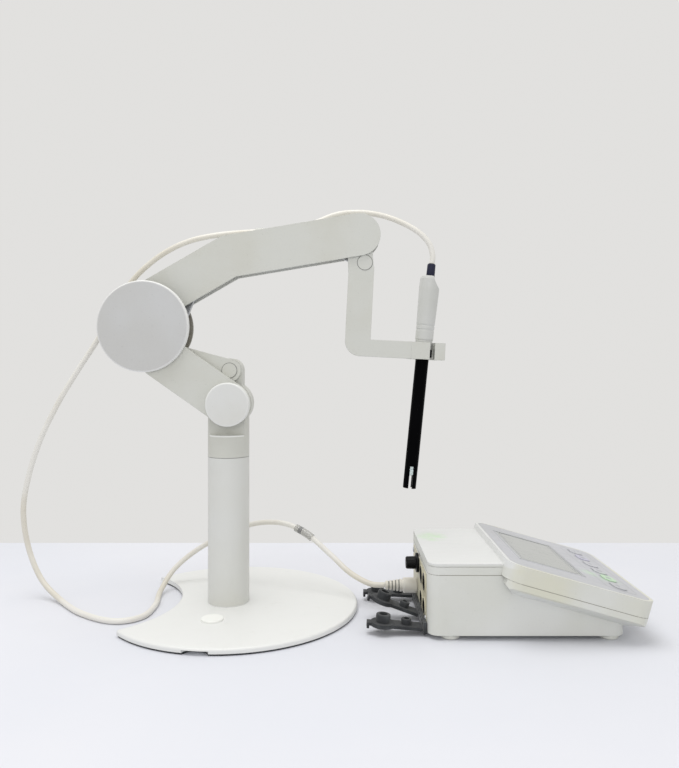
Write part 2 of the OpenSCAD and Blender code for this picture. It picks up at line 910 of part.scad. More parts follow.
module bnc_cap() {
    color(black)
    translate([case_x[0] - 0.9, bnc_at[0], bnc_at[1]]) rotate([0, -90, 0])
    difference() {
        rotate_extrude($fn = 48) polygon([
            [0, 0], [8.5, 0], [8.5, 2], [5.6, 2.6], [5.4, 10], [4.6, 11], [0, 11]
        ]);
        translate([0, 0, -1]) cylinder(h = 7, r = 4 + fit);
    }
}

module case_feet() {
    color([0.80, 0.80, 0.78])
    for (x = foot_x, y = [-foot_y, foot_y])
        translate([x, case_y + y, case_bottom]) mirror([0, 0, 1]) turned(7.8, case_bottom, 1.5);
}

module case_screws() {
    color(steel)
    for (x = foot_x, y = [-foot_y, foot_y])
        translate([x, case_y + y, case_bottom]) cylinder(h = 8, r = 1.6);
}

// A strip of soft plugs: each flap is a strap with a round plug and a pull tab on its end
module flap_strip() {
    color(rubber_grey)
    difference() {
        translate([strip_front, case_y - 55, 2.4]) cube([2.6, 100, 9]);
        for (i = [0:11])
            translate([strip_front - 1, case_y - 52 + 8 * i, 8]) cube([2, 4, 2]);
    }
}

module flap(i) {
    y = flap_list[i][0];
    color(rubber_grey)
    translate([flap_root[0], y, flap_root[1]]) rotate([0, flap_list[i][1], 0])
    difference() {
        union() {
            translate([0, 7, 0]) rotate([90, 0, 0]) cylinder(h = 14, r = 1.3);
            translate([-26, -7, -1.3]) cube([26, 14, 2.6]);
            translate([-31, 0, -1.6]) cylinder(h = 3.2, r = 10);
            translate([-31, 0, 1]) turned(6, 7, 1);
            translate([-12, 0, 1]) turned(4.2, 5, 0.8);
            translate([-44, -4, -1.3]) cube([6, 8, 2.4]);
            translate([-44, -4, -3.6]) cube([2, 8, 3]);
        }
        translate([-31, 0, 3]) cylinder(h = 10, r = 3.6);
        translate([-12, 0, 3]) cylinder(h = 10, r = 2.4);
    }
}

base_plate();
base_pad();
base_plug();
post();
post_bolt();
swivel_bush();
swivel_head();
swivel_spindle();
knob_bolt();
friction_washer();
link_pin();
lower_arm();
lower_link();
tension_knob();
elbow_disc();
elbow_back();
elbow_pins();
upper_arm();
wrist_pin();
lead_clips();
upper_link();
holder_bracket();
holder_clip();
level_pin();
electrode_shaft();
glass_bulb();
electrode_head();
head_insert();
cable_boot();
lead_top();
lead_drop();
lead_bench();
lead_plug();
plug_relief();
lower_case();
upper_case();
keypad_overlay();
lcd_window();
lcd_module();
display_board();
keypad_mat();
main_board();
rear_panel();
rear_sockets();
bnc_cap();
case_feet();
case_screws();
flap_strip();
flap(0);  // flap_1
flap(1);  // flap_2
flap(2);  // flap_3
key(0, overlay_grey);  // key_1
key(1, [0.55, 0.85, 0.58]);  // key_2
key(2, overlay_grey);  // key_3
key(3, overlay_grey);  // key_4
key(4, [0.55, 0.55, 0.75]);  // key_5
key(5, overlay_grey);  // key_6
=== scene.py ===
"""Looks for the bench pH meter: camera, materials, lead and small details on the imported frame."""

import json
import math

import bpy
from mathutils import Matrix, Vector

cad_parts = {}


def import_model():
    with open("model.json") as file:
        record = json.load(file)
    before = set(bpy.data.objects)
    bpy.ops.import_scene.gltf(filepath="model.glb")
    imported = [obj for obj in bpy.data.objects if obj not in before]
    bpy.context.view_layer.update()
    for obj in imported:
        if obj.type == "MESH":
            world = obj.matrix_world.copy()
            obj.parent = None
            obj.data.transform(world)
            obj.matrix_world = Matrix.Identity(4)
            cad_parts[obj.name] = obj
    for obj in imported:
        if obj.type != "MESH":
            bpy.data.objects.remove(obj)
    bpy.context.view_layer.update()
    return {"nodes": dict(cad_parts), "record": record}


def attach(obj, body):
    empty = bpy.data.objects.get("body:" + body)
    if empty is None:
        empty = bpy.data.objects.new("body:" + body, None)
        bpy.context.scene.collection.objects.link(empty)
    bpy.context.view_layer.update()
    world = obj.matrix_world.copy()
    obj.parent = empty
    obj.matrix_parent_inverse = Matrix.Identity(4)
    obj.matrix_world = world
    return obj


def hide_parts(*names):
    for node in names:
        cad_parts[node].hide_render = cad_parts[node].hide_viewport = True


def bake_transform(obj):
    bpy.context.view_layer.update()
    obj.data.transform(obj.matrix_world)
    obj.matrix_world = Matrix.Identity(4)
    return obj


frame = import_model()
nodes = frame["nodes"]
STAND = "stand_and_console"
MM = 0.001


# ---- Places worked out from the frame, in metres ----


def box_of(name):
    """The low and high corners of a CAD node."""
    cad = nodes[name]
    points = [cad.matrix_world @ vertex.co for vertex in cad.data.vertices]
    low = Vector([min(p[i] for p in points) for i in range(3)])
    high = Vector([max(p[i] for p in points) for i in range(3)])
    return low, high


def middle_of(name):
    low, high = box_of(name)
    return (low + high) / 2


# upper_case holds the lid and the display panel, which is the console's widest part
case_low, case_high = box_of("upper_case")
case_middle_y = (case_low.y + case_high.y) / 2
case_half_y = (case_high.y - case_low.y) / 2
case_seam_z = box_of("lower_case")[1].z


# ---- Camera ----

SENSOR = 36.0  # millimetres
LENS = 33.515625  # millimetres
HORIZON_SHIFT = -0.0234375  # as a share of the picture's longer side
NEAREST = 0.01  # metres
CAMERA_PLACE = (0.1007, -0.650, 0.2188)

camera_data = bpy.data.cameras.new("camera")
camera_data.sensor_width = SENSOR
camera_data.lens = LENS
camera_data.shift_y = HORIZON_SHIFT
camera_data.clip_start = NEAREST
camera = bpy.data.objects.new("camera", camera_data)
camera.location = CAMERA_PLACE
camera.rotation_euler = (math.radians(90), 0, 0)
bpy.context.scene.collection.objects.link(camera)
bpy.context.scene.camera = camera
bpy.context.scene.view_settings.view_transform = "Standard"


# ---- Mesh helpers: outlines and places are in millimetres, made points in metres ----


def mesh_piece(name, points, faces, material, smooth=True):
    """A new object from points in metres. Only faces of up to four corners are shaded smooth."""
    data = bpy.data.meshes.new(name)
    data.from_pydata([tuple(p) for p in points], [], faces)
    data.validate()
    data.update()
    for face in data.polygons:
        face.use_smooth = smooth and len(face.vertices) <= 4
    data.materials.append(material)
    piece = bpy.data.objects.new(name, data)
    bpy.context.scene.collection.objects.link(piece)
    return piece


def axes_of(direction):
    """Two unit vectors square to a direction, and the direction itself."""
    w = Vector(direction).normalized()
    helper = Vector((0, 0, 1)) if abs(w.z) < 0.9 else Vector((1, 0, 0))
    u = w.cross(helper).normalized()
    return u, w.cross(u), w


def tube_faces(levels, turns):
    """The side faces between rings of points, and the two end faces."""
    faces = []
    for i in range(levels - 1):
        low, high = i * turns, (i + 1) * turns
        for k in range(turns):
            q = (k + 1) % turns
            faces.append((low + k, low + q, high + q, high + k))
    faces.append(tuple(range(turns - 1, -1, -1)))
    faces.append(tuple((levels - 1) * turns + k for k in range(turns)))
    return faces


def lathe(profile, origin, direction, turns=48):
    """Points and faces of a turned shape. The profile is (radius, height) pairs."""
    u, v, w = axes_of(direction)
    base = Vector(origin) * MM
    points = []
    for radius, height in profile:
        for k in range(turns):
            a = 2 * math.pi * k / turns
            out = u * math.cos(a) + v * math.sin(a)
            points.append(base + out * radius * MM + w * height * MM)
    return points, tube_faces(len(profile), turns)


def ring(radius, thick, origin, direction, turns=64, rounds=10):
    """Points and faces of a thin round ring."""
    u, v, w = axes_of(direction)
    base = Vector(origin) * MM
    points, faces = [], []
    for k in range(turns):
        a = 2 * math.pi * k / turns
        out = u * math.cos(a) + v * math.sin(a)
        for j in range(rounds):
            b = 2 * math.pi * j / rounds
            offset = out * (radius + thick * math.cos(b)) + w * thick * math.sin(b)
            points.append(base + offset * MM)
    for k in range(turns):
        for j in range(rounds):
            a, b = (k + 1) % turns, (j + 1) % rounds
            faces.append((k * rounds + j, a * rounds + j, a * rounds + b, k * rounds + b))
    return points, faces


def slab(outline, low, high, place):
    """A flat-sided piece: an outline, from one height to another, put in place by a matrix."""
    n = len(outline)
    points = [place @ Vector((x * MM, y * MM, z * MM)) for z in (low, high) for x, y in outline]
    faces = [tuple(range(n - 1, -1, -1)), tuple(range(n, 2 * n))]
    faces += [(i, (i + 1) % n, n + (i + 1) % n, n + i) for i in range(n)]
    return points, faces


def rounded(x0, y0, x1, y1, r, steps=6):
    """The outline of a rectangle with round corners."""
    corners = [
        (x1 - r, y1 - r, 0), (x0 + r, y1 - r, 90), (x0 + r, y0 + r, 180), (x1 - r, y0 + r, 270),
    ]
    outline = []
    for cx, cy, start in corners:
        for s in range(steps + 1):
            a = math.radians(start + 90 * s / steps)
            outline.append((cx + r * math.cos(a), cy + r * math.sin(a)))
    return outline


def several(parts):
    """Points and faces of several shapes as one."""
    points, faces = [], []
    for more_points, more_faces in parts:
        base = len(points)
        points += more_points
        faces += [tuple(i + base for i in f) for f in more_faces]
    return points, faces


def add(name, shape, material, body):
    """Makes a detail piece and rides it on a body."""
    piece = mesh_piece(name, *shape, material)
    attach(piece, body)


# ---- Materials ----


def srgb(r, g, b):
    """A linear colour from screen values between 0 and 255."""
    shares = (r / 255, g / 255, b / 255)
    linear = (c / 12.92 if c <= 0.04045 else ((c + 0.055) / 1.055) ** 2.4 for c in shares)
    return (*linear, 1.0)


def scaled(colour, factor):
    """A colour made darker by a factor."""
    return (*(c * factor for c in colour[:3]), 1.0)


class Tree:
    """A small wrapper that adds nodes and links to a material. Patterns are fixed to the object."""

    def __init__(self, name):
        self.material = bpy.data.materials.new(name)
        self.material.use_nodes = True
        self.tree = self.material.node_tree
        self.shader = self.tree.nodes["Principled BSDF"]
        self.place = self.add("ShaderNodeTexCoord").outputs["Object"]

    def add(self, kind, inputs=None, **settings):
        """A new node. Each input is a value or another node's output."""
        made = self.tree.nodes.new(kind)
        for key, value in settings.items():
            setattr(made, key, value)
        for key, value in (inputs or {}).items():
            if isinstance(value, bpy.types.NodeSocket):
                self.tree.links.new(value, made.inputs[key])
            else:
                made.inputs[key].default_value = value
        return made

    def noise(self, scale, detail, rough=0.5, stretch=None):
        """Soft noise around 0.5. scale is in waves per metre."""
        place = self.place
        if stretch:
            place = self.add("ShaderNodeMapping", {"Vector": place, "Scale": stretch}).outputs[0]
        inputs = {"Vector": place, "Scale": scale, "Detail": detail, "Roughness": rough}
        return self.add("ShaderNodeTexNoise", inputs).outputs["Fac"]

    def cells(self, scale):
        """Distance to the middle of the nearest cell, for grain."""
        made = self.add("ShaderNodeTexVoronoi", {"Vector": self.place, "Scale": scale})
        return made.outputs["Distance"]

    def ramp(self, value, low, high, to_low=0.0, to_high=1.0):
        """A smooth step from to_low, where value is at low, to to_high, where it is at high."""
        inputs = {"Value": value, "From Min": low, "From Max": high}
        inputs |= {"To Min": to_low, "To Max": to_high}
        made = self.add("ShaderNodeMapRange", inputs, interpolation_type="SMOOTHSTEP")
        return made.outputs["Result"]

    def maths(self, kind, a, b):
        """Arithmetic on two numbers."""
        return self.add("ShaderNodeMath", {0: a, 1: b}, operation=kind).outputs[0]

    def vector(self, kind, a, b, output="Vector"):
        """Arithmetic on two vectors."""
        made = self.add("ShaderNodeVectorMath", {0: a, 1: b}, operation=kind)
        return made.outputs[output]

    def length(self, value):
        made = self.add("ShaderNodeVectorMath", {0: value}, operation="LENGTH")
        return made.outputs["Value"]

    def mix(self, factor, a, b):
        """Colour a where factor is 0, and colour b where it is 1."""
        made = self.add("ShaderNodeMix", {0: factor, 6: a, 7: b}, data_type="RGBA")
        return made.outputs[2]

    def edges(self, radius):
        """1 on edges and 0 on flats, and a normal that is rounded at edges."""
        rounded_normal = self.add("ShaderNodeBevel", {"Radius": radius}, samples=4).outputs[0]
        flat = self.add("ShaderNodeNewGeometry").outputs["Normal"]
        agreement = self.vector("DOT_PRODUCT", rounded_normal, flat, "Value")
        return self.ramp(agreement, 0.995, 0.90), rounded_normal

    def bump(self, height, strength, distance, normal=None):
        """A normal with fine relief, distance metres deep."""
        inputs = {"Height": height, "Strength": strength, "Distance": distance}
        if normal is not None:
            inputs["Normal"] = normal
        return self.add("ShaderNodeBump", inputs).outputs["Normal"]

    def spot(self, centre, size):
        """1 in the middle of an ellipsoid in metres, falling to 0 at its edge."""
        away = self.vector("DIVIDE", self.vector("SUBTRACT", self.place, centre), size)
        return self.ramp(self.length(away), 1.0, 0.35)

    def rim(self, name, inner, outer):
        """0 on a CAD node's round front face, rising to 0.8 between two distances from its rim."""
        low, high = box_of(name)
        radius = (high.z - low.z) / 2
        away = self.vector("SUBTRACT", self.place, (low + high) / 2)
        flat = self.vector("MULTIPLY", away, (1, 0, 1))
        return self.ramp(self.length(flat), radius - inner, radius - outer, 0, 0.8)

    def axis(self, name):
        """The place along one axis, in metres."""
        return self.add("ShaderNodeSeparateXYZ", {0: self.place}).outputs[name]

    def finish(self, colour, rough, normal):
        """Links the three maps to the shader and gives the material."""
        self.tree.links.new(colour, self.shader.inputs["Base Color"])
        self.tree.links.new(rough, self.shader.inputs["Roughness"])
        self.tree.links.new(normal, self.shader.inputs["Normal"])
        return self.material

    def constant(self, **values):
        """Sets the shader's own values, with _ for a space in a socket's name."""
        for key, value in values.items():
            self.shader.inputs[key.replace("_", " ")].default_value = value


def moulded(name, colour, aged, rough=0.45, grain=1500.0, depth=0.00004, specks=0.25,
            edge=0.0006, rim=None, extra=None, **constants):
    """Moulded plastic: spark grain, yellowing in patches, dust specks, and paler edges, which are
    wear and, where a bright rim is given, a painted highlight.

    grain is in cells per metre, depth and edge (the edges' radius) are in metres, and specks is
    how strong the dust is. rim is the colour of the paler edges, extra a function that adds marks
    and painted light and shade, and constants are values of the shader's own sockets."""
    t = Tree(name)
    base = t.mix(t.ramp(t.noise(14, 4), 0.38, 0.68), colour, aged)
    dust = t.ramp(t.noise(520, 2), 0.66, 0.78, 0, specks)
    base = t.mix(dust, base, scaled(aged, 0.62))
    if extra:
        base = extra(t, base)
    normal = None
    if edge:
        edge_mask, normal = t.edges(edge)
        rim = rim or (*(min(1, c * 1.12 + 0.01) for c in colour[:3]), 1.0)
        edge_mask = t.maths("MULTIPLY", edge_mask, t.ramp(t.noise(110, 3), 0.35, 0.65, 0.15, 0.7))
        base = t.mix(edge_mask, base, rim)
    height = t.maths("ADD", t.cells(grain), t.noise(grain * 1.7, 2))
    scuffs = t.ramp(t.noise(55, 5, 0.65, (1, 3.0, 1)), 0.35, 0.7, rough - 0.07, rough + 0.09)
    t.constant(**constants)
    return t.finish(base, scuffs, t.bump(height, 0.35, depth, normal))


def painted(name, colour, aged, extra):
    """Powder coat on metal: orange peel, handling marks, darker edges."""
    t = Tree(name)
    base = t.mix(t.ramp(t.noise(9, 4), 0.35, 0.7), colour, aged)
    base = extra(t, base)
    marks = t.ramp(t.noise(34, 6, 0.7, (1, 1, 0.25)), 0.60, 0.78, 0, 0.30)
    base = t.mix(marks, base, scaled(aged, 0.80))
    edge_mask, normal = t.edges(0.0007)
    base = t.mix(t.maths("MULTIPLY", edge_mask, 0.5), base, scaled(colour, 0.86))
    peel = t.noise(620, 3, 0.55)
    scuffs = t.ramp(t.noise(48, 5), 0.35, 0.7, 0.36, 0.52)
    t.constant(Coat_Weight=0.12, Coat_Roughness=0.3)
    return t.finish(base, scuffs, t.bump(peel, 0.5, 0.00005, normal))


def rubbery(name, colour, dusty, rough=0.75, sheen=0.15):
    """Soft rubber: fine grain, bloom on raised spots."""
    t = Tree(name)
    base = t.mix(t.ramp(t.noise(60, 5), 0.42, 0.72), colour, dusty)
    edge_mask, normal = t.edges(0.0005)
    base = t.mix(t.maths("MULTIPLY", edge_mask, 0.45), base, dusty)
    height = t.maths("ADD", t.noise(1800, 2), t.noise(300, 3))
    scuffs = t.ramp(t.noise(90, 3), 0.3, 0.7, rough - 0.08, rough + 0.08)
    t.constant(Sheen_Weight=sheen, Sheen_Roughness=0.5)
    return t.finish(base, scuffs, t.bump(height, 0.35, 0.00006, normal))


def turned_metal(name, colour, rough=0.32):
    """Turned or drawn metal: fine lathe lines and dull patches."""
    t = Tree(name)
    base = t.mix(t.ramp(t.noise(80, 4), 0.35, 0.7), colour, scaled(colour, 0.72))
    lines = t.noise(900, 2, 0.5, (0.06, 1.0, 1.0))
    scuffs = t.ramp(t.noise(150, 3), 0.3, 0.7, rough - 0.08, rough + 0.14)
    t.constant(Metallic=1.0)
    return t.finish(base, scuffs, t.bump(lines, 0.25, 0.00003, t.edges(0.0004)[1]))


def clear(name, tint, rough, transmission):
    """Clear plastic or glass with faint haze and fingerprints."""
    t = Tree(name)
    base = t.mix(t.ramp(t.noise(40, 4), 0.4, 0.7), tint, scaled(tint, 0.93))
    haze = t.ramp(t.noise(70, 5, 0.65), 0.45, 0.75, rough, rough + 0.16)
    t.constant(Transmission_Weight=transmission, IOR=1.48)
    return t.finish(base, haze, t.bump(t.noise(400.0, 2), 0.05, 0.00002))


# ---- Marks, painted light and painted shade that belong to one place on the object, in metres ----

LID_TOP = 0.061
PANEL_X = 0.233  # the display panel's upper edge
YELLOW_FADES = (0.265, 0.300)
LID_RUB, LID_RUB_SIZE = (0.186, 0.012, 0.061), (0.017, 0.022, 0.02)
KEY_RUB, KEY_RUB_SIZE = (0.320, -0.047, 0.041), (0.020, 0.020, 0.03)
COLLAR_TOP, COLLAR_FRONT = 0.157, -0.010


def case_marks_and_painted_lid_light(t, base):
    """Painted light on the lid's top, yellowing on the display panel's rim, and a chalky green rub
    on the lid.
    """
    x = t.axis("X")
    # The lid's top face is painted lighter than the case's sides: painted light from above.
    lid = t.ramp(t.axis("Z"), LID_TOP - 0.0015, LID_TOP + 0.0002, 0, 0.8)
    base = t.mix(lid, base, srgb(221, 222, 222))
    off_middle = t.maths("ABSOLUTE", t.maths("SUBTRACT", t.axis("Y"), case_middle_y), 0.0)
    near_side = t.ramp(off_middle, case_half_y - 0.006, case_half_y - 0.001)
    sides = t.maths("MULTIPLY", near_side, t.ramp(x, *YELLOW_FADES, 1.0, 0.45))
    front = t.ramp(x, case_high.x - 0.0109, case_high.x - 0.0019)
    panel = t.ramp(x, PANEL_X - 0.007, PANEL_X)
    mask = t.maths("MULTIPLY", t.maths("MAXIMUM", sides, front), panel)
    mask = t.maths("MULTIPLY", mask, t.ramp(t.noise(24, 4), 0.36, 0.68, 0.05, 0.85))
    base = t.mix(mask, base, srgb(212, 211, 193))
    chalk = t.ramp(t.noise(95, 5, 0.6), 0.36, 0.62, 0.1, 0.75)
    rub = t.maths("MULTIPLY", t.spot(LID_RUB, LID_RUB_SIZE), chalk)
    return t.mix(rub, base, srgb(196, 224, 186))


def overlay_marks(t, base):
    """A green rub over the keys, as on the lid."""
    chalk = t.ramp(t.noise(80, 5, 0.6), 0.40, 0.62, 0.0, 0.75)
    rub = t.maths("MULTIPLY", t.spot(KEY_RUB, KEY_RUB_SIZE), chalk)
    return t.mix(rub, base, srgb(188, 216, 184))


def plate_painted_light(t, base):
    """The base plate is painted lighter than the post above it, though both have one paint: painted
    light on the plate, whose top faces the light.
    """
    top = box_of("base_plate")[1].z
    plate = t.ramp(t.axis("Z"), top + 0.0009, top + 0.0001)
    return t.mix(plate, base, srgb(228, 229, 227))


def whiter_cover_and_knob_highlight(t, base):
    """The cover in the base plate is whiter than the knob, and the knob's rim has a painted
    highlight.
    """
    # A painted highlight round the knob's rim.
    base = t.mix(t.rim("tension_knob", 0.0021, 0.0003), base, srgb(230, 231, 228))
    top = box_of("base_plug")[1].z
    cover = t.ramp(t.axis("Z"), top + 0.0047, top + 0.0027)
    return t.mix(cover, base, srgb(241, 242, 238))


def collar_painted_highlight(t, base):
    """A painted highlight on the edge round the top of the swivel head's collar, at the front."""
    z = t.axis("Z")
    above = t.ramp(z, COLLAR_TOP - 0.0014, COLLAR_TOP - 0.0008)
    below = t.ramp(z, COLLAR_TOP + 0.0006, COLLAR_TOP + 0.0002)
    front = t.ramp(t.axis("Y"), COLLAR_FRONT + 0.0002, COLLAR_FRONT - 0.0008)
    mask = t.maths("MULTIPLY", t.maths("MULTIPLY", above, below), t.maths("MULTIPLY", front, 0.85))
    return t.mix(mask, base, srgb(240, 241, 238))


def disc_rim_painted_highlight(t, base):
    """A painted highlight on the front disc's rounded rim."""
    return t.mix(t.rim("elbow_disc", 0.0020, 0.0002), base, srgb(236, 236, 234))


def painted_inner_shade(t, base):
    """Painted shade on the face of the back disc that is turned to the arm, where the front disc
    and the arm shade it.
    """
    back = box_of("elbow_back")[1].y
    inner = t.ramp(t.axis("Y"), back - 0.0003, back - 0.0017)
    return t.mix(inner, base, srgb(138, 134, 124))


# ---- The looks, by the record's slot names ----

FINE_GRAIN = {"grain": 3000.0, "depth": 0.000008, "edge": 0.0003}

looks = {
    # The base plate has painted light.
    "stand_paint": painted("stand_paint", srgb(214, 215, 212), srgb(210, 210, 203), plate_painted_light),
    # The arm's pale rim colour is wear and a painted highlight along its edges, and the collar gets
    # a painted highlight.
    "arm_plastic": moulded("arm_plastic", srgb(205, 206, 200), srgb(200, 200, 191), 0.48,
                           rim=srgb(232, 233, 228), extra=collar_painted_highlight),
    # The front disc's rim has a painted highlight.
    "disc_plastic": moulded("disc_plastic", srgb(199, 200, 200), srgb(194, 194, 192), 0.50,
                            extra=disc_rim_painted_highlight),
    # The back disc is a little darker than the front disc, and its face turned to the arm is much
    # darker: painted shade.
    "back_plastic": moulded("back_plastic", srgb(190, 190, 187), srgb(182, 181, 175), 0.55,
                            extra=painted_inner_shade),
    "knob_white": moulded("knob_white", srgb(217, 218, 216), srgb(211, 211, 206), 0.42,
                          extra=whiter_cover_and_knob_highlight),
    "steel": turned_metal("steel", srgb(196, 198, 202)),
    "dark_rubber": rubbery("dark_rubber", srgb(40, 42, 45), srgb(72, 75, 77)),
    "electrode_black": moulded("electrode_black", srgb(4, 4, 5), srgb(7, 7, 8), 0.28,
                               grain=2600.0, depth=0.00001, specks=0.05, edge=0.0003,
                               rim=srgb(36, 36, 38), Specular_IOR_Level=0.02),
    "sensor_glass": clear("sensor_glass", srgb(226, 240, 240), 0.03, 0.95),
    "head_white": moulded("head_white", srgb(203, 204, 202), srgb(196, 197, 192), 0.36,
                          grain=2400.0, depth=0.00001, edge=0.0004),
    "navy_boot": rubbery("navy_boot", srgb(6, 12, 46), srgb(12, 19, 54), 0.6, 0.01),
    "lead_ivory": moulded("lead_ivory", srgb(228, 226, 220), srgb(214, 209, 196), 0.42,
                          grain=2200.0, depth=0.00001, edge=None),
    "case_plastic": moulded("case_plastic", srgb(217, 218, 214), srgb(211, 212, 205), 0.46,
                            extra=case_marks_and_painted_lid_light),
    "panel_grey": moulded("panel_grey", srgb(188, 189, 194), srgb(182, 183, 186), 0.40,
                          extra=overlay_marks, **FINE_GRAIN),
    "key_green": moulded("key_green", srgb(184, 213, 181), srgb(190, 211, 186), 0.42,
                         **FINE_GRAIN),
    "key_blue": moulded("key_blue", srgb(188, 187, 203), srgb(192, 190, 203), 0.42, **FINE_GRAIN),
    "lcd_glass": moulded("lcd_glass", srgb(151, 154, 149), srgb(145, 148, 144), 0.16,
                         grain=3200.0, depth=0.000004, specks=0.08, edge=0.0002,
                         Coat_Weight=0.5, Coat_Roughness=0.08),
    "lcd_body": moulded("lcd_body", srgb(120, 128, 116), srgb(108, 116, 106), 0.5),
    "circuit_board": moulded("circuit_board", srgb(34, 92, 56), srgb(26, 76, 46), 0.35, 900.0),
    "silicone": rubbery("silicone", srgb(206, 206, 202), srgb(190, 190, 184), 0.6),
    "rear_ivory": moulded("rear_ivory", srgb(208, 205, 184), srgb(196, 190, 164), 0.46),
    "black_plastic": moulded("black_plastic", srgb(5, 5, 6), srgb(9, 9, 10), 0.40,
                             grain=2000.0, depth=0.00002, specks=0.08,
                             rim=srgb(40, 40, 42), Specular_IOR_Level=0.18),
    "foot_rubber": rubbery("foot_rubber", srgb(222, 223, 216), srgb(204, 204, 196), 0.7),
}

# Looks of details that have no slot of their own
ring_line = moulded("ring_line", srgb(118, 119, 116), srgb(128, 128, 122), 0.6, edge=None)
seam_line = moulded("seam_line", srgb(112, 108, 96), srgb(134, 130, 116), 0.7, edge=None)
pale_line = moulded("pale_line", srgb(182, 184, 187), srgb(176, 178, 181), edge=None)
key_line = moulded("key_line", srgb(170, 172, 177), srgb(164, 166, 170), edge=None)
sleeve_clear = clear("sleeve_clear", srgb(236, 236, 234), 0.12, 0.75)
nickel = turned_metal("nickel", srgb(206, 200, 186), 0.22)
brassy = turned_metal("brassy", srgb(214, 184, 112), 0.25)

# Each CAD node gets the look that the record names
for row in frame["record"]["subparts"]:
    cad = nodes[row["node"]]
    cad.data.materials.clear()
    cad.data.materials.append(looks[row["material_slot"]])


# ---- Lead: one route from the electrode to the plug, cut where it passes from body to body ----

LEAD_D = 0.005
# The middle of the lead, in millimetres
ROUTE = [
    (185.1, 3.5, 312.3), (185.8, 3.5, 320), (182.5, 4, 331), (173, 5.5, 341.5), (159, 9, 350.5),
    (141, 13, 358), (120, 15, 361.5), (98, 15, 359.5), (72, 15, 350), (42, 15, 344.6),
    (12, 15, 342.9), (-13, 15, 340.5), (-37, 15, 335.5), (-58, 15.5, 326.5), (-77, 16.5, 313.5),
    (-94, 18, 297), (-110, 19, 273), (-125, 20, 245), (-143, 20, 217), (-162, 21, 186.5),
    (-181, 24, 150), (-194, 27, 113), (-199.5, 29, 80), (-195, 30, 46), (-181, 25, 18),
    (-158, 10, 4), (-126, -24, 2.6), (-92, -44, 2.6), (-70, -34, 2.6), (-66, -3, 2.6),
    (-70, 33, 4.5), (-60, 54, 21), (-34, 64, 40), (8, 61, 60), (42, 50, 65.5),
    (68, 38, 58), (92, 25, 41), (110, 11, 28), (128, -0.5, 21.2), (141.7, -2.4, 20.4),
]
STEPS = 8  # path points to each route point
SIDES = 20
END_RING = 0.00003  # how far the extra ring is from a tube's end
SLEEVE_R, TAG_R = 0.0036, 0.0029


def smooth_route(route):
    """A smooth curve in metres through every point of the route, nowhere under the bench."""
    points = []
    for i in range(len(route) - 1):
        around = (min(max(j, 0), len(route) - 1) for j in (i - 1, i, i + 1, i + 2))
        a, b, c, d = (Vector(route[j]) for j in around)
        second = 2 * a - 5 * b + 4 * c - d
        third = 3 * b - a - 3 * c + d
        for s in range(STEPS):
            t = s / STEPS
            points.append(0.5 * (2 * b + (c - a) * t + second * t**2 + third * t**3))
    points.append(Vector(route[-1]))
    for p in points:
        p.z = max(p.z, LEAD_D / MM / 2)
    return [p * MM for p in points]


def carried_frames(path):
    """Two vectors across the path at each point, carried along without twisting."""
    side, found = Vector((0, 1, 0)), []
    for i in range(len(path)):
        along = (path[min(i + 1, len(path) - 1)] - path[max(i - 1, 0)]).normalized()
        side = (side - side.dot(along) * along).normalized()
        found.append((side, along.cross(side)))
    return found


lead_path = smooth_route(ROUTE)
lead_frames = carried_frames(lead_path)


def lead_tube(name, first, last, radius, material):
    """A tube round the lead's path between two of its points. An extra ring close to each end
    keeps the end faces out of the shading of the sides."""
    rings = [(i, 0) for i in range(first, last + 1)]
    rings = [rings[0], (first, END_RING), *rings[1:-1], (last, -END_RING), rings[-1]]
    points = []
    for i, shift in rings:
        side, up = lead_frames[i]
        centre = lead_path[i] + side.cross(up) * shift
        for k in range(SIDES):
            a = 2 * math.pi * k / SIDES
            points.append(centre + (side * math.cos(a) + up * math.sin(a)) * radius)
    return mesh_piece(name, points, tube_faces(len(rings), SIDES), material)


# Name, first and last route point, the body it rides on or, for a piece that rides on none, the two
# bodies it runs between, node replaced
LEAD_PARTS = [
    ("lead_over_electrode", 0, 4, ("electrode", "holder"), "lead_top"),
    ("lead_over_wrist", 4, 7, ("holder", "upper_arm"), "lead_top"),
    ("lead_behind_arm", 7, 12, "upper_arm", "lead_top"),
    ("lead_over_elbow", 12, 15, ("upper_arm", "elbow"), "lead_top"),
    ("lead_past_elbow", 15, 17, ("elbow", "lower_arm"), "lead_drop"),
    ("lead_beside_arm", 17, 20, ("lower_arm", "swivel"), "lead_drop"),
    ("lead_down", 20, 26, ("swivel", STAND), "lead_drop"),
    ("lead_on_bench", 26, 39, STAND, "lead_bench"),
]
for name, first, last, bodies, stands_for in LEAD_PARTS:
    low, high = first * STEPS, last * STEPS
    piece = lead_tube(name, low, high, LEAD_D / 2, looks["lead_ivory"])
    if isinstance(bodies, str):
        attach(piece, bodies)
    else:
        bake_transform(piece)
    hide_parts(stands_for)

# Clear marker sleeve on the lead to the right of the post, with a plain dark tag inside. It
# covers the path about route point 35
SLEEVE_AT = 35
sleeve_first, sleeve_last = SLEEVE_AT * STEPS - 3, SLEEVE_AT * STEPS + 2
tag_first, tag_last = sleeve_first + 1, sleeve_first + 2
sleeve = lead_tube("lead_sleeve", sleeve_first, sleeve_last, SLEEVE_R, sleeve_clear)
tag = lead_tube("lead_sleeve_tag", tag_first, tag_last, TAG_R, looks["black_plastic"])

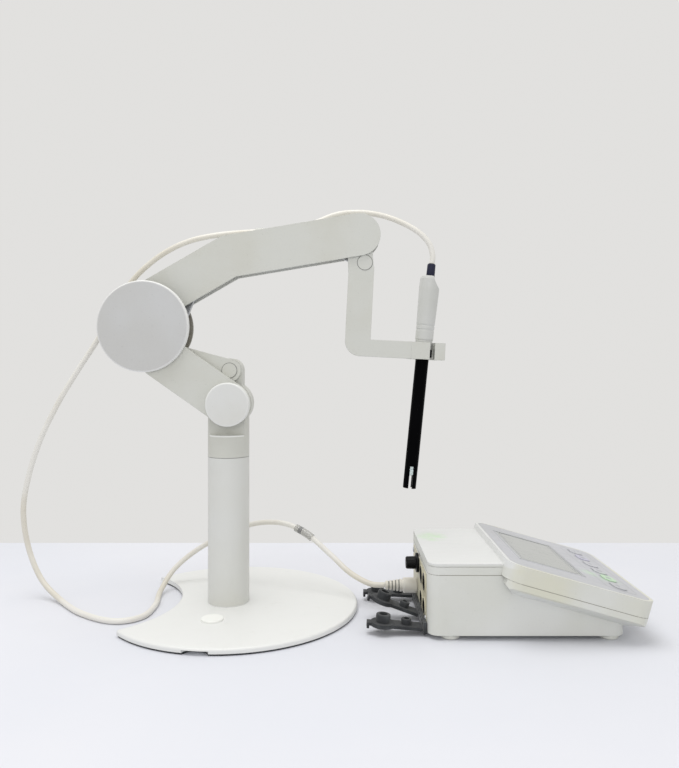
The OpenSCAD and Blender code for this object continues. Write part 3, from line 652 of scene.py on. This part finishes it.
# Shadowed grooves between the ribs of the plug's strain relief
REAR = (-1, 0, 0)
GROOVES, GROOVE_PITCH, GROOVE_R = 4, 3, 0.4
_, plug_y, plug_z = middle_of("lead_plug") / MM
first_groove_x = box_of("plug_relief")[0].x / MM + 3.3
groove_rings = []
for i in range(GROOVES):
    at = (first_groove_x + GROOVE_PITCH * i, plug_y, plug_z)
    groove_rings.append(ring(3.25 + 0.4 * i, GROOVE_R, at, REAR, 40, 8))
relief_grooves = mesh_piece("relief_grooves", *several(groove_rings), ring_line)
for piece in (sleeve, tag, relief_grooves):
    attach(piece, STAND)


# ---- Details on the arm and the display panel, in millimetres ----

FRONT = (0, -1, 0)
HAIRLINE = 0.28

# Hairline rings round the two pins that show on the front. Each row is the pin, the node whose
# front face the ring lies on, how far it stands out of that face, its radius and its body
PIN_RINGS = [
    ("link_pin", "lower_link", 0.15, 6.7, "swivel"),
    ("level_pin", "holder_bracket", 0.1, 6.75, "holder"),
]
for pin, face, proud, radius, body in PIN_RINGS:
    at = middle_of(pin) / MM
    at.y = box_of(face)[0].y / MM - proud
    add(f"{pin}_ring", ring(radius, HAIRLINE, at, FRONT), ring_line, body)

# The display panel's own frame: x down its slope, z out of its face
SLOPE = math.radians(15.6)
panel_corner = Vector((PANEL_X, case_middle_y, case_high.z))
at_case = Matrix.Identity(4)
at_panel = Matrix.Translation(panel_corner) @ Matrix.Rotation(SLOPE, 4, "Y")


def frame_line(box, r, wide, low, high, place=at_panel):
    """A closed thin band inside a rounded rectangle, from one height to another."""
    x0, y0, x1, y1 = box
    outer = rounded(x0, y0, x1, y1, r)
    inner = rounded(x0 + wide, y0 + wide, x1 - wide, y1 - wide, r - wide)
    n = len(outer)
    loops = [(outer, low), (outer, high), (inner, high), (inner, low)]
    points = [place @ Vector((x * MM, y * MM, z * MM)) for loop, z in loops for x, y in loop]
    faces = []
    for level in range(4):
        for i in range(n):
            j, up = (i + 1) % n, (level + 1) % 4
            faces.append((level * n + i, level * n + j, up * n + j, up * n + i))
    return points, faces


# The dark seams between the case's halves. They stand out of the walls by a hair
PROUD, SEAM_WIDE = 0.04, 0.5
BODY_HALF_Y, BODY_R, UNDER_PANEL_X = 63, 9, 240
PANEL_LONG, PANEL_R = 120.3, 14
case_x, middle_y, seam_z = case_low.x / MM, case_middle_y / MM, case_seam_z / MM
panel_half_y = case_half_y / MM + PROUD
body_half_y = BODY_HALF_Y + PROUD
body_box = (case_x - PROUD, middle_y - body_half_y, UNDER_PANEL_X, middle_y + body_half_y)
panel_box = (-PROUD, -panel_half_y, PANEL_LONG + PROUD, panel_half_y)
lid_seam = frame_line(body_box, BODY_R + PROUD, SEAM_WIDE, seam_z - 0.08, seam_z + 0.27, at_case)
panel_seam = frame_line(panel_box, PANEL_R + PROUD, SEAM_WIDE, -13.78, -13.46)
add("lid_seam", lid_seam, seam_line, STAND)
add("panel_seam", panel_seam, seam_line, STAND)

# The display's border, which hides the gap round its window, and the lines round the keypad
lcd_border = frame_line((14.2, -51.3, 71.3, 51.3), 1.6, 2.6, -0.12, 0.06)
lcd_inner_line = frame_line((19, -46.5, 66.5, 46.5), 1.0, 0.4, -0.12, 0.0)
keypad_line = frame_line((84, -66, 109.5, 66), 8, 0.5, -0.02, 0.08)
add("lcd_border", lcd_border, pale_line, STAND)
add("lcd_inner_line", lcd_inner_line, key_line, STAND)
add("keypad_line", keypad_line, pale_line, STAND)

# A surround to each key, and a plain mark on it: a bar and a dot, or a block
KEYS = 6
KEY_X, KEY_PITCH = 96.5, 21.4
SURROUND_X, SURROUND_Y = 6.6, 9.6
ICON_LOW, ICON_HIGH = 0.86, 1.0
BAR_KEYS = (0, 3, 5)


def icon_block(x, y, half_x, half_y, r):
    """A low block on a key's face."""
    outline = rounded(x - half_x, y - half_y, x + half_x, y + half_y, r)
    return slab(outline, ICON_LOW, ICON_HIGH, at_panel)


for i in range(KEYS):
    y = (i - (KEYS - 1) / 2) * KEY_PITCH
    box = (KEY_X - SURROUND_X, y - SURROUND_Y, KEY_X + SURROUND_X, y + SURROUND_Y)
    surround = frame_line(box, SURROUND_X, 0.95, -0.3, 0.12)
    add(f"key_{i + 1}_surround", surround, pale_line, STAND)
    if i in BAR_KEYS:
        bar = icon_block(KEY_X, y, 0.5, 3, 0.4)
        dot = icon_block(KEY_X - 1.9, y, 0.5, 0.5, 0.4)
        icon = several([bar, dot])
    else:
        icon = icon_block(KEY_X, y, 2.2, 2.2 + 0.1 * i, 1.1)
    add(f"key_{i + 1}_icon", icon, key_line, f"key_{i + 1}")


# ---- Details on the rear panel, in millimetres ----

INSERT_DEPTH, PIN_DEPTH = 5.7, 4.3
# The y, z and radius of each round socket, and its number of pins
SOCKETS = [(-57, 40, 5.6, 3), (-37, 40, 5.6, 4), (-57, 20, 4.6, 5), (-37, 20, 4.6, 1)]
SCREWS = [(-63, 12), (27, 12), (27, 45)]
PIN_PROFILE = [(0.1, -1), (0.55, -1), (0.55, 2.8), (0.4, 3.3), (0.1, 3.4)]
COLLAR_PROFILE = [(4.1, 0), (4.9, 0), (4.9, 1.0), (4.1, 1.0)]
SCREW_PROFILE = [(0.1, -0.4), (2.5, -0.4), (2.5, 0.5), (1.9, 1.0), (0.1, 1.1)]

pins, collars, inserts = [], [], []
for y, z, r, count in SOCKETS:
    profile = [(0.1, 0), (r - 0.3, 0), (r - 0.4, 1.2), (r - 0.9, 1.5), (0.1, 1.5)]
    inserts.append(lathe(profile, (case_x + INSERT_DEPTH, y, z), REAR, 40))
    collars.append(ring(r + 1.9, 0.7, (case_x - 0.6, y, z), REAR))
    reach = 0 if count == 1 else r * 0.5
    for k in range(count):
        a = 2 * math.pi * k / count
        at = (case_x + PIN_DEPTH, y + reach * math.cos(a), z + reach * math.sin(a))
        pins.append(lathe(PIN_PROFILE, at, REAR, 16))
coaxial_at = middle_of("bnc_cap") / MM
coaxial_at.x = case_x - 0.2
coaxial = [ring(6.2, 0.9, coaxial_at, REAR), lathe(COLLAR_PROFILE, coaxial_at, REAR)]
screws = [lathe(SCREW_PROFILE, (case_x - 0.4, y, z), REAR, 32) for y, z in SCREWS]
add("socket_pins", several(pins), brassy, STAND)
add("socket_inserts", several(inserts), looks["black_plastic"], STAND)
add("socket_collars", several(collars), looks["rear_ivory"], STAND)
add("coaxial_collar", several(coaxial), nickel, STAND)
add("rear_screws", several(screws), looks["steel"], STAND)


# ---- Table top, world and lights ----

TABLE_BOX = (-1500, -1500, 1700, 238)
TABLE_R, TABLE_THICK = 10, 30
TABLE_EDGE = 0.004
WALL, WALL_STRENGTH = srgb(232, 231, 229), 0.94


def table_top():
    """The bench under the object, which isn't part of it."""
    t = Tree("table_top")
    base = t.mix(t.ramp(t.noise(3, 4), 0.35, 0.7), srgb(223, 224, 230), srgb(218, 220, 227))
    scuffs = t.ramp(t.noise(12, 3), 0.3, 0.7, 0.55, 0.7)
    material = t.finish(base, scuffs, t.bump(t.noise(900, 2), 0.1, 0.00003))
    shape = slab(rounded(*TABLE_BOX, TABLE_R), -TABLE_THICK, 0, Matrix.Identity(4))
    piece = mesh_piece("table_top", *shape, material, smooth=False)
    bevel = piece.modifiers.new("bevel", "BEVEL")
    bevel.width = TABLE_EDGE
    bevel.segments = 4
    bevel.limit_method = "ANGLE"


def world():
    """An even light wall all round."""
    made = bpy.data.worlds.new("studio")
    made.use_nodes = True
    background = made.node_tree.nodes["Background"]
    background.inputs["Color"].default_value = WALL
    background.inputs["Strength"].default_value = WALL_STRENGTH
    bpy.context.scene.world = made


def area(name, place, aim, size, power):
    """A round light of a size in metres and a power in watts, turned to a point."""
    data = bpy.data.lights.new(name, "AREA")
    data.shape = "DISK"
    data.size = size
    data.energy = power
    light = bpy.data.objects.new(name, data)
    light.location = place
    light.rotation_euler = (Vector(aim) - Vector(place)).to_track_quat("-Z", "Y").to_euler()
    bpy.context.scene.collection.objects.link(light)


table_top()
world()
area("top_light", (-0.1, -0.1, 1.5), (0.1, 0, 0.1), 1.2, 11)
area("front_light", (0.1, -1.6, 0.9), (0.1, 0, 0.15), 1.0, 3)
